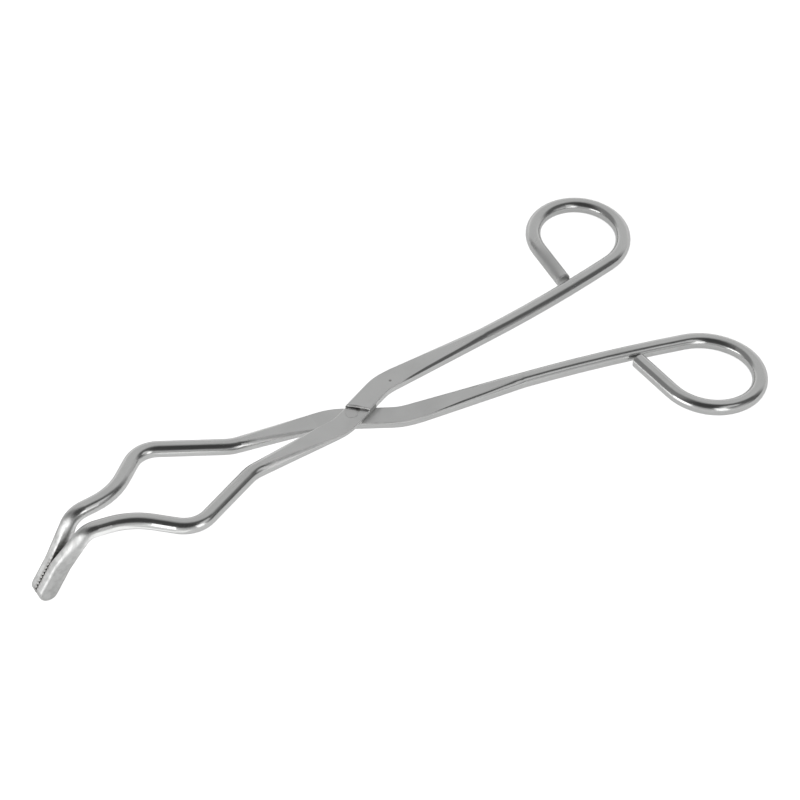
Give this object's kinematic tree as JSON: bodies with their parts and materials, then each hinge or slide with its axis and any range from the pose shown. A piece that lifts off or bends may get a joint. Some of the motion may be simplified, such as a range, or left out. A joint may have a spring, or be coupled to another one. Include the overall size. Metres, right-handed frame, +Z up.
{
  "type": "laboratory tongs",
  "caption": "Scissor-type laboratory tongs of bent round bar, crossing at a flush rivet, with outward finger loops, bowed jaws and flattened, serrated tips bent downwards.",
  "frame": {"origin": "centre of the bounding box's base, level with the lowest points of the loops and tips", "axes": "+X from the tips to the finger loops, +Y across the tongs, +Z up from the surface they stand on"},
  "size_m": [0.229, 0.1054, 0.0252],
  "materials": {
    "polished_bar": "polished stainless steel bar, satin on the forged flats",
    "rivet_steel": "ground flush with the flats"
  },
  "bodies": {
    "lower": {"lower_half": "polished_bar", "pivot_rivet": "rivet_steel"},
    "upper": {"upper_half": "polished_bar"}
  },
  "joints": [
    {"name": "opening", "type": "hinge", "parent": "lower", "child": "upper", "pos_m": [-0.00898, 0, 0.01433], "axis": [0.098, 0, 0.9952], "range_deg": [0, 60]}
  ]
}
